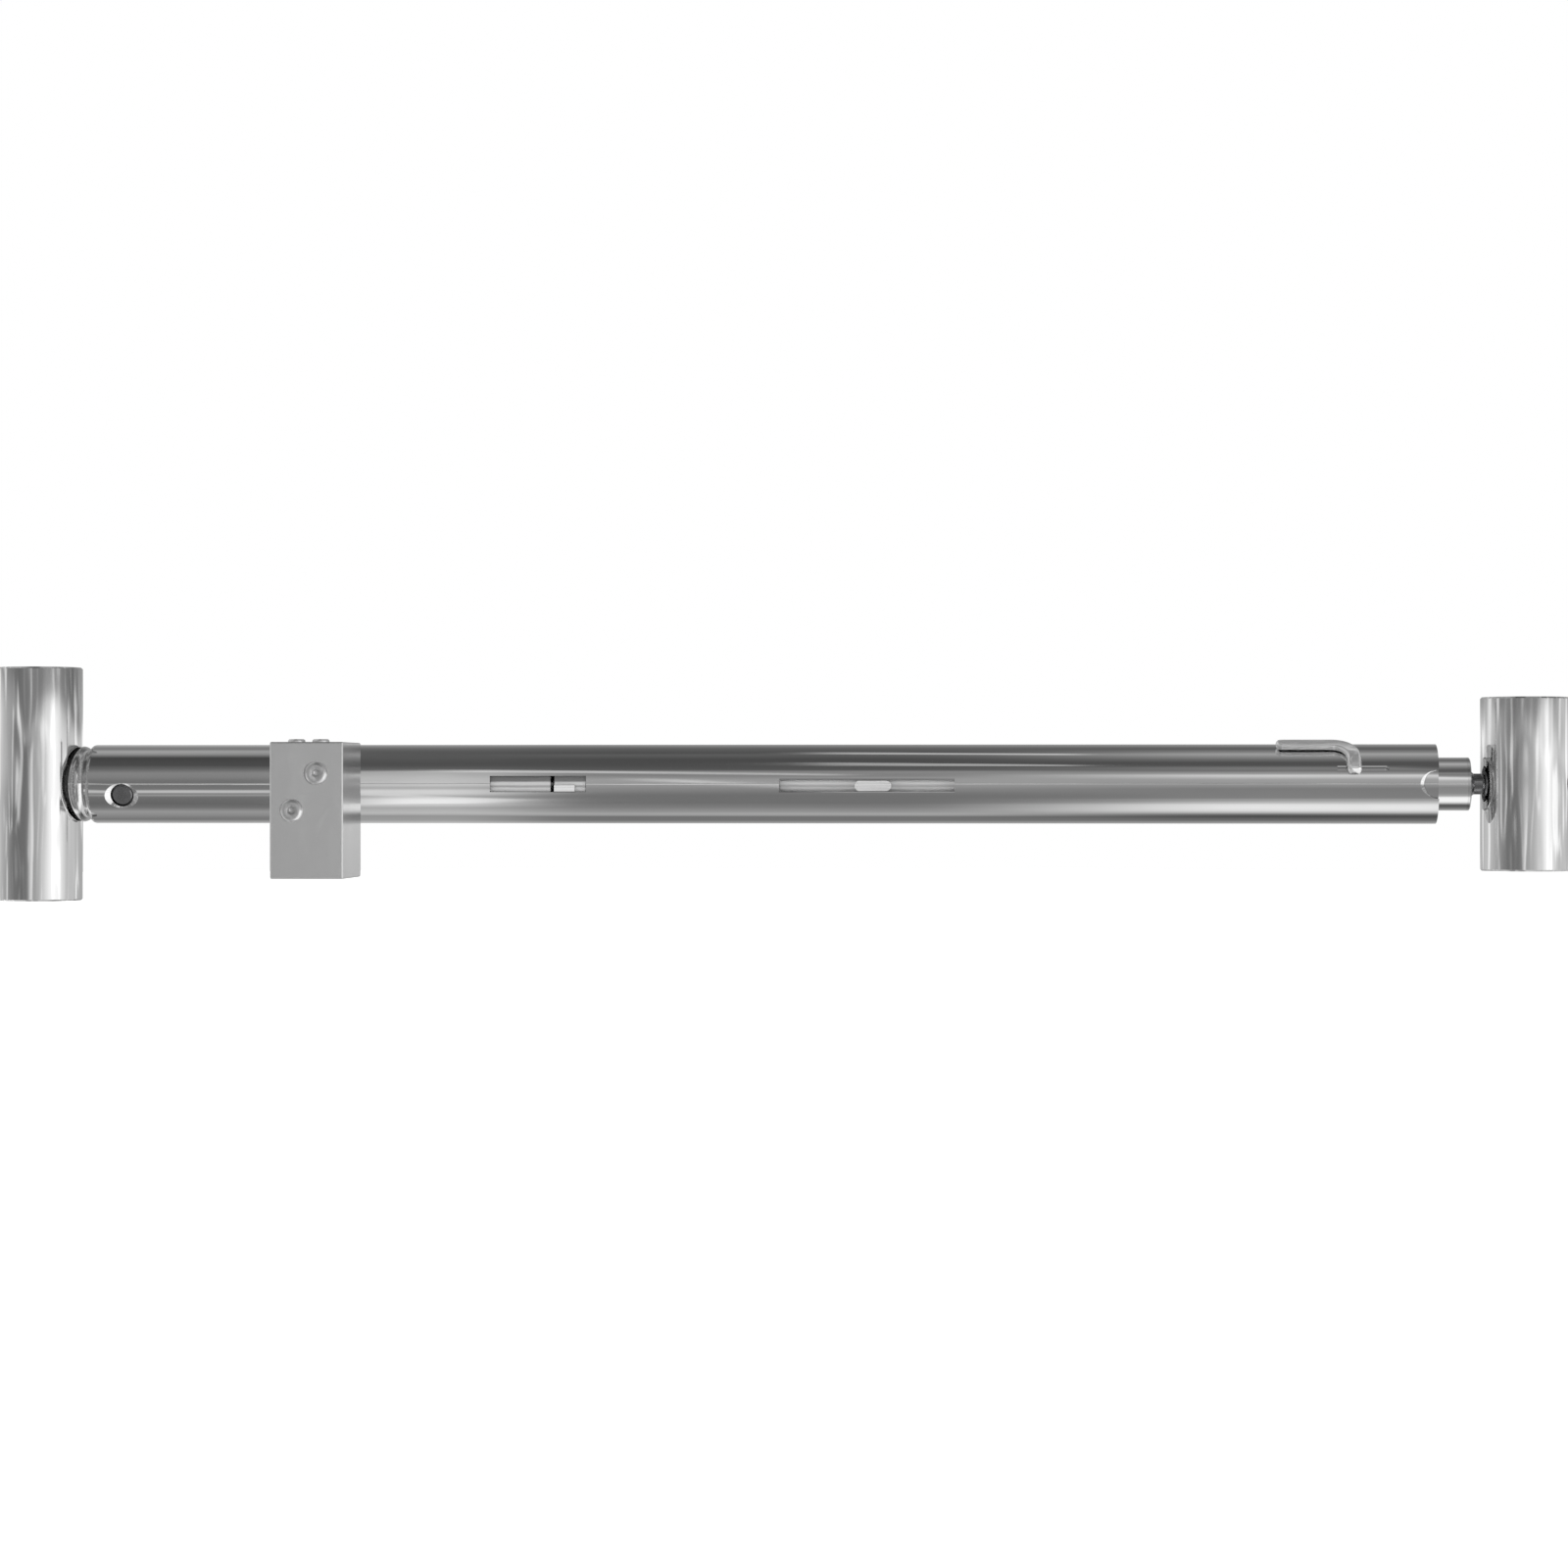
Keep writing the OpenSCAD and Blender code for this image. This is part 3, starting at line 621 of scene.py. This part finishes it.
# A level glow on the feet's walls, where it comes and goes as the ray rises, and soft patches:
# degrees round for each patch, patches for each unit of rise, and where their edges are.
GLOW_IN = (0.002, 0.010)
GLOW_OUT = (0.014, 0.022)
GLOW_STRENGTH = 0.16
PATCH_TURN = 15.0
PATCHES_UP = 62.0
PATCH_EDGE = (0.50, 0.72)
PATCH_STRENGTH = 0.55


def wall_ramp(tree, angle, wall):
    """Brightness of one wall at an angle in degrees."""
    stops = [((a + 180) / 360, b) for a, b in wall]
    return tree.node("ShaderNodeValToRGB", {"stops": stops}, {0: angle / 360 + 0.5})


def strip_lamp(tree, angle, along, lamp):
    """Brightness that one slanting strip lamp adds."""
    angle_a, angle_b, half_a, half_b, start, stop, strength = lamp
    share = (along - start) / (stop - start)
    centre = angle_a + share * (angle_b - angle_a)
    half = half_a + share * (half_b - half_a)
    off = (angle - centre).math("ABSOLUTE")
    across = 1 - tree.smooth(off, half - 1.5, half + 1.5)
    lit = tree.smooth(along, start - 0.006, start + 0.006)
    unlit = tree.smooth(along, stop - 0.006, stop + 0.006)
    return across * lit * (1 - unlit) * strength


def build_sky(studio):
    """World light: what polished steel mirrors, plain white for everything else."""
    world = bpy.data.worlds.new("studio")
    world.use_nodes = True
    world.cycles.sampling_method = "NONE"
    bpy.context.scene.world = world
    tree = Tree(world.node_tree)
    direction = tree.node("ShaderNodeTexCoord")
    x, y, z = (tree.node("ShaderNodeSeparateXYZ", None, {0: direction}, axis) for axis in range(3))
    ahead = 0 - y
    degree = 180 / math.pi
    about_bar = z.math("ARCTAN2", ahead) * degree
    round_foot = x.math("ARCTAN2", ahead) * degree
    wall = wall_ramp(tree, about_bar, WALL_LEFT)
    for start, stop, following in WALLS:
        following = wall_ramp(tree, about_bar, following)
        wall = tree.mix(tree.smooth(x, start, stop), wall, following)
    for lamp in STRIPS:
        wall = wall + strip_lamp(tree, about_bar, x, lamp)
    high = wall_ramp(tree, round_foot, WALL_ROUND_HIGH)
    low = wall_ramp(tree, round_foot, WALL_ROUND_LOW)
    around = tree.mix(tree.smooth(z, *LOW_TO_HIGH), low, high)
    glow = tree.smooth(z, *GLOW_IN) - tree.smooth(z, *GLOW_OUT)
    place = {0: round_foot / PATCH_TURN, 2: z * PATCHES_UP}
    place = tree.node("ShaderNodeCombineXYZ", None, place)
    patches = tree.smooth(tree.noise((1.0, 1.0, 1.0), 1.0, 0.5, place), *PATCH_EDGE)
    around = around + glow * GLOW_STRENGTH + patches * PATCH_STRENGTH
    level = 1 - tree.smooth(z.math("ABSOLUTE"), *FEET_LEVEL)
    side = tree.smooth(x.math("ABSOLUTE"), *FEET_SIDE)
    room = tree.mix(side.math("MAXIMUM", level), wall, around)
    camera_ray = tree.node("ShaderNodeLightPath", out="Is Camera Ray")
    glossy_ray = tree.node("ShaderNodeLightPath", out="Is Glossy Ray")
    plain = tree.mix(camera_ray, rgba(studio.fill_light), rgba(1.0))
    seen = tree.mix(glossy_ray, plain, room)
    background = tree.node("ShaderNodeBackground", None, {0: seen, 1: 1.0})
    tree.node("ShaderNodeOutputWorld", None, {0: background})


def build_floor(studio):
    """Plain pale round floor under the feet."""
    mesh = bpy.data.meshes.new("floor")
    work = bmesh.new()
    bmesh.ops.create_circle(work, cap_ends=True, segments=96, radius=studio.floor_radius)
    middle = Vector((0.5 * (CAD_BOX[0][0] + CAD_BOX[1][0]), 0.0, CAD_BOX[0][2] - studio.floor_gap))
    bmesh.ops.translate(work, verts=work.verts, vec=middle)
    work.to_mesh(mesh)
    work.free()
    floor = bpy.data.objects.new("floor", mesh)
    bpy.context.scene.collection.objects.link(floor)
    material, tree = new_surface("pale_floor")
    mottle = tree.noise((3.0, 3.0, 3.0), 2.0)
    tint = tree.mix(mottle, rgba(0.90), rgba(0.93))
    close_surface(tree, {"Base Color": tint, "Roughness": 0.9, "Specular IOR Level": 0.0})
    mesh.materials.append(material)
    floor.visible_glossy = False


def build_lamp(name, place, target, size, power):
    """A square soft lamp that the steel doesn't mirror."""
    data = bpy.data.lights.new(name, "AREA")
    data.shape = "SQUARE"
    data.size = size
    data.energy = power
    lamp = bpy.data.objects.new(name, data)
    lamp.location = place
    lamp.rotation_euler = (Vector(target) - Vector(place)).to_track_quat("-Z", "Y").to_euler()
    lamp.visible_glossy = False
    bpy.context.scene.collection.objects.link(lamp)


def build_camera(studio):
    """Camera level with the bar and a few degrees off its square."""
    data = bpy.data.cameras.new("camera")
    data.lens = studio.lens
    data.sensor_width = 36.0
    data.clip_end = 50.0
    camera = bpy.data.objects.new("camera", data)
    turn = studio.view_turn
    aim = Vector((studio.aim_x, 0.0, studio.aim_z))
    back = Vector((math.sin(turn), -math.cos(turn), 0.0))
    camera.location = aim + back * studio.distance
    camera.rotation_euler = (math.pi / 2, 0.0, turn)
    bpy.context.scene.collection.objects.link(camera)
    bpy.context.scene.camera = camera


# ---------------------------------------------------------------- settings


def length(name, description, default, **more):
    return bpy.props.FloatProperty(
        name=name, description=description, default=default, unit="LENGTH", precision=5, **more
    )


def turns(name, description, default):
    return bpy.props.FloatProperty(name=name, description=description, default=default, min=1.0)


def factor(name, description, default):
    return bpy.props.FloatProperty(
        name=name, description=description, default=default, min=0.0, max=1.0, subtype="FACTOR"
    )


def colour(name, description, default):
    return bpy.props.FloatVectorProperty(
        name=name, description=description, default=default, size=3, min=0.0, max=1.0,
        subtype="COLOR",
    )


class StudioSettings(bpy.types.PropertyGroup):
    """Camera, floor and light."""

    lens: bpy.props.FloatProperty(
        name="Lens", description="Focal length in millimetres", default=90.0, unit="CAMERA"
    )
    distance: length("Distance", "Camera to the bar's axis", 1.8979)
    view_turn: bpy.props.FloatProperty(
        name="View turn",
        description="How far the camera stands round to the right",
        default=math.radians(3.633),
        subtype="ANGLE",
    )
    aim_x: length("Aim along the bar", "Where the view's middle meets the bar", 0.3658)
    aim_z: length("Aim height", "Height of the view's middle", 0.0)
    floor_gap: length("Floor gap", "Space between the feet and the floor", 0.05)
    floor_radius: length("Floor radius", "Radius of the round floor", 3.0)
    fill_light: bpy.props.FloatProperty(
        name="Fill light", description="Brightness of the plain white light", default=1.6
    )
    lamp_power: bpy.props.FloatProperty(
        name="Lamp power", description="Power of the soft lamp overhead", default=12.0, unit="POWER"
    )


class ShapeSettings(bpy.types.PropertyGroup):
    """Sizes of the pieces that are built here."""

    strap_width: length("Strap width", "Width of the finger hook's strap", 6.6 * MM)
    strap_thickness: length("Strap thickness", "Thickness of the finger hook's strap", 3.6 * MM)
    strap_edge: length("Strap edge", "Rounding of the strap's long edges", 1.35 * MM)
    main_coil: length("Main coil", "Middle radius of the main spring", 11.5 * MM)
    main_wire: length("Main wire", "Radius of the main spring's wire", 1.3 * MM)
    main_turns: turns("Main turns", "Turns of the main spring", 13.0)
    button_coil: length("Button coil", "Middle radius of the button's spring", 4.6 * MM)
    button_wire: length("Button wire", "Radius of the wire of the button's spring", 0.45 * MM)
    button_turns: turns("Button turns", "Turns of the button's spring", 4.0)


class FinishSettings(bpy.types.PropertyGroup):
    """Colours and roughness of the finishes."""

    bar_colour: colour("Bar steel", "Colour of the bar tube", (0.80, 0.80, 0.80))
    bar_rough: factor("Bar roughness", "Roughness of the polished bar", 0.04)
    foot_colour: colour("Foot steel", "Colour of the foot tubes", (0.80, 0.80, 0.80))
    inner_colour: colour("Inner steel", "Colour of the shoe and socket cap", (0.84, 0.84, 0.84))
    rod_colour: colour("Adjuster", "Colour of the adjuster's rod and slug", (0.74, 0.74, 0.74))
    bright_colour: colour("Bright steel", "Colour of hook, keys and plunger", (0.92, 0.92, 0.92))
    dark_colour: colour("Dark steel", "Colour of the button and the ball stud", (0.30, 0.30, 0.305))
    fastener_colour: colour("Fasteners", "Colour of bolts, screws and rivets", (0.55, 0.55, 0.56))
    bolt_colour: colour("Block bolts", "Colour of the block's bolts and screws", (0.93, 0.93, 0.93))
    spring_colour: colour("Springs", "Colour of the coil springs", (0.50, 0.50, 0.51))
    block_colour: colour("Block", "Colour of the stop block", (0.86, 0.86, 0.86))
    block_rough: factor("Block roughness", "Roughness of the milled block", 0.21)
    plastic_shade: factor("Plastic", "Grey level of the black plastic", 0.02)
    rubber_shade: factor("Rubber", "Grey level of the black rubber", 0.015)


# ---------------------------------------------------------------- operators


class SECURITYBAR_OT_bar(bpy.types.Operator):
    """Finish the bar tube, its left spigot and its end bush"""

    bl_idname = "securitybar.bar"
    bl_label = "Bar tube"
    bl_options = {"REGISTER", "UNDO"}

    def execute(self, context):
        finish = context.scene.bar_finish
        steel = polished_steel(
            "bar_steel_finish", finish.bar_colour, finish.bar_rough, *BAR_GRAIN
        )
        dress(["main_tube", "left_spigot", "end_bush"], steel)
        return {"FINISHED"}


class SECURITYBAR_OT_feet(bpy.types.Operator):
    """Finish the two upright foot tubes"""

    bl_idname = "securitybar.feet"
    bl_label = "Foot tubes"
    bl_options = {"REGISTER", "UNDO"}

    def execute(self, context):
        finish = context.scene.bar_finish
        steel = polished_steel("foot_steel_finish", finish.foot_colour, 0.03, *FOOT_GRAIN)
        dress(["left_foot_tube", "right_foot_tube"], steel)
        return {"FINISHED"}


class SECURITYBAR_OT_inner(bpy.types.Operator):
    """Finish the adjuster, the plunger and the bright pieces on them, with painted highlight and
    shade bands on the adjuster's rod and slug and on the plunger
    """

    bl_idname = "securitybar.inner"
    bl_label = "Inner steel"
    bl_options = {"REGISTER", "UNDO"}

    def execute(self, context):
        finish = context.scene.bar_finish
        shape = context.scene.bar_shape
        inner = polished_steel("inner_steel_finish", finish.inner_colour, 0.08, *SHOE_GRAIN)
        dress(["hook_shoe", "socket_cap"], inner)
        # The rod, the slug and the plunger get painted highlight and shade bands by height.
        rod = banded_steel("rod_painted_bands", finish.rod_colour, 0.08, ROD_PAINTED_BANDS, 1.0)
        dress(["adjuster_rod", "adjuster_slug"], rod)
        plunger = banded_steel("plunger_painted_bands", finish.bright_colour, 0.06, PLUNGER_PAINTED_BANDS, 0.6)
        dress(["plunger_tube"], plunger)
        bright = polished_steel("bright_steel_finish", finish.bright_colour, 0.05, *KEY_GRAIN)
        dress(["adjuster_key", "travel_key"], bright)
        strap = polished_steel("hook_finish", finish.bright_colour, 0.12, *HOOK_GRAIN, 0.90)
        add_piece("hook_strap", hook_mesh(shape), "plunger", "finger_hook", strap)
        return {"FINISHED"}


class SECURITYBAR_OT_small(bpy.types.Operator):
    """Finish the dark steel and the small fasteners"""

    bl_idname = "securitybar.small"
    bl_label = "Small steel"
    bl_options = {"REGISTER", "UNDO"}

    def execute(self, context):
        finish = context.scene.bar_finish
        dark = turned_steel("dark_steel_finish", finish.dark_colour, 0.18)
        dress(["snap_button", "ball_stud"], dark)
        fastener = turned_steel("fastener_finish", finish.fastener_colour, 0.25)
        dress(["left_foot_screw", "right_foot_screw", "hook_rivet", "end_bush_screw"], fastener)
        return {"FINISHED"}


class SECURITYBAR_OT_springs(bpy.types.Operator):
    """Build the main spring and the button's spring"""

    bl_idname = "securitybar.springs"
    bl_label = "Coil springs"
    bl_options = {"REGISTER", "UNDO"}

    def execute(self, context):
        finish = context.scene.bar_finish
        shape = context.scene.bar_shape
        wire = turned_steel("spring_finish", finish.spring_colour, 0.25)
        coil = coil_tree()
        values = {
            "Coil Radius": shape.main_coil, "Wire Radius": shape.main_wire,
            "Length": MAIN_END - MAIN_START, "Turns": shape.main_turns, "Material": wire,
        }
        mesh = grown("main_coil", *coil, values)
        start = (MAIN_START, 0.0, 0.0)
        mesh.transform(Matrix.Translation(start) @ Matrix.Rotation(math.pi / 2, 4, "Y"))
        piece = add_piece("main_coil", mesh, None, "main_spring", wire)
        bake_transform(piece)
        out = Vector((0.0, -math.cos(BUTTON_TURN), -math.sin(BUTTON_TURN)))
        start = Vector((BUTTON_X, 0.0, 0.0)) + out * BUTTON_START
        values = {
            "Coil Radius": shape.button_coil, "Wire Radius": shape.button_wire,
            "Length": BUTTON_LENGTH, "Turns": shape.button_turns, "Material": wire,
        }
        mesh = grown("button_coil", *coil, values)
        turned = out.to_track_quat("Z", "X").to_matrix().to_4x4()
        mesh.transform(Matrix.Translation(start) @ turned)
        piece = add_piece("button_coil", mesh, None, "button_spring", wire)
        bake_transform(piece)
        return {"FINISHED"}


class SECURITYBAR_OT_bolts(bpy.types.Operator):
    """Build the two socket-head bolts in the stop block and finish its lock screws"""

    bl_idname = "securitybar.bolts"
    bl_label = "Block bolts"
    bl_options = {"REGISTER", "UNDO"}

    def execute(self, context):
        finish = context.scene.bar_finish
        steel = turned_steel("bolt_finish", finish.bolt_colour, 0.3)
        one = bpy.data.objects.new("bolt", bolt_mesh())
        values = {
            "Piece": one, "First Place": BOLT_PLACES[0], "Second Place": BOLT_PLACES[1],
            "Turn": (math.pi / 2, 0.0, 0.0), "Material": steel,
        }
        mesh = grown("bolt_pair", *pair_tree(), values)
        bpy.data.objects.remove(one)
        add_piece("bolt_pair", mesh, "bar", "block_bolts", steel)
        dress(["block_lock_screws"], steel)
        return {"FINISHED"}


class SECURITYBAR_OT_block(bpy.types.Operator):
    """Finish the stop block and the other aluminium pieces"""

    bl_idname = "securitybar.block"
    bl_label = "Stop block"
    bl_options = {"REGISTER", "UNDO"}

    def execute(self, context):
        finish = context.scene.bar_finish
        alloy = block_alloy("block_finish", finish.block_colour, finish.block_rough)
        dress(["stop_block", "bolt_anchor", "socket_plug"], alloy)
        # The steel doesn't mirror the block, whose image breaks up on the tube's flat facets.
        NODES["stop_block"].visible_glossy = False
        return {"FINISHED"}


class SECURITYBAR_OT_black(bpy.types.Operator):
    """Finish the black plastic and rubber pieces"""

    bl_idname = "securitybar.black"
    bl_label = "Black pieces"
    bl_options = {"REGISTER", "UNDO"}

    def execute(self, context):
        finish = context.scene.bar_finish
        plastic = moulded_black("black_plastic_finish", finish.plastic_shade, 0.4, 900.0)
        dress(
            [
                "left_access_plug", "right_access_plug", "rod_bush_left", "rod_bush_right",
                "plunger_guide", "ball_seat",
            ],
            plastic,
        )
        rubber = moulded_black("black_rubber_finish", finish.rubber_shade, 0.7, 1500.0)
        dress(["saddle_gasket"], rubber)
        return {"FINISHED"}


class SECURITYBAR_OT_stage(bpy.types.Operator):
    """Set up the floor, the light and the camera"""

    bl_idname = "securitybar.stage"
    bl_label = "Studio"

    def execute(self, context):
        studio = context.scene.bar_studio
        context.scene.view_settings.view_transform = "Standard"
        context.scene.view_settings.look = "None"
        build_sky(studio)
        build_floor(studio)
        centre = (studio.aim_x, 0.0, 0.0)
        build_lamp("soft_lamp", (studio.aim_x - 0.4, -0.8, 1.4), centre, 1.2, studio.lamp_power)
        build_camera(studio)
        return {"FINISHED"}


STEPS = ("bar", "feet", "inner", "small", "springs", "bolts", "block", "black", "stage")


class SECURITYBAR_PT_panel(bpy.types.Panel):
    """Lists the pieces and their settings"""

    bl_idname = "SECURITYBAR_PT_panel"
    bl_label = "Security Bar"
    bl_space_type = "VIEW_3D"
    bl_region_type = "UI"
    bl_category = "Security Bar"

    def draw(self, context):
        for step in STEPS:
            self.layout.operator(f"securitybar.{step}")
        scene = context.scene
        for group in (scene.bar_shape, scene.bar_finish, scene.bar_studio):
            box = self.layout.box()
            for name in group.bl_rna.properties.keys():
                if name not in {"rna_type", "name"}:
                    box.prop(group, name)


CLASSES = (
    StudioSettings,
    ShapeSettings,
    FinishSettings,
    SECURITYBAR_OT_bar,
    SECURITYBAR_OT_feet,
    SECURITYBAR_OT_inner,
    SECURITYBAR_OT_small,
    SECURITYBAR_OT_springs,
    SECURITYBAR_OT_bolts,
    SECURITYBAR_OT_block,
    SECURITYBAR_OT_black,
    SECURITYBAR_OT_stage,
    SECURITYBAR_PT_panel,
)


def register():
    for cls in CLASSES:
        bpy.utils.register_class(cls)
    bpy.types.Scene.bar_studio = bpy.props.PointerProperty(type=StudioSettings)
    bpy.types.Scene.bar_shape = bpy.props.PointerProperty(type=ShapeSettings)
    bpy.types.Scene.bar_finish = bpy.props.PointerProperty(type=FinishSettings)


def unregister():
    del bpy.types.Scene.bar_finish
    del bpy.types.Scene.bar_shape
    del bpy.types.Scene.bar_studio
    for cls in reversed(CLASSES):
        bpy.utils.unregister_class(cls)


def main():
    register()
    for step in STEPS:
        getattr(bpy.ops.securitybar, step)()


if __name__ == "__main__":
    main()
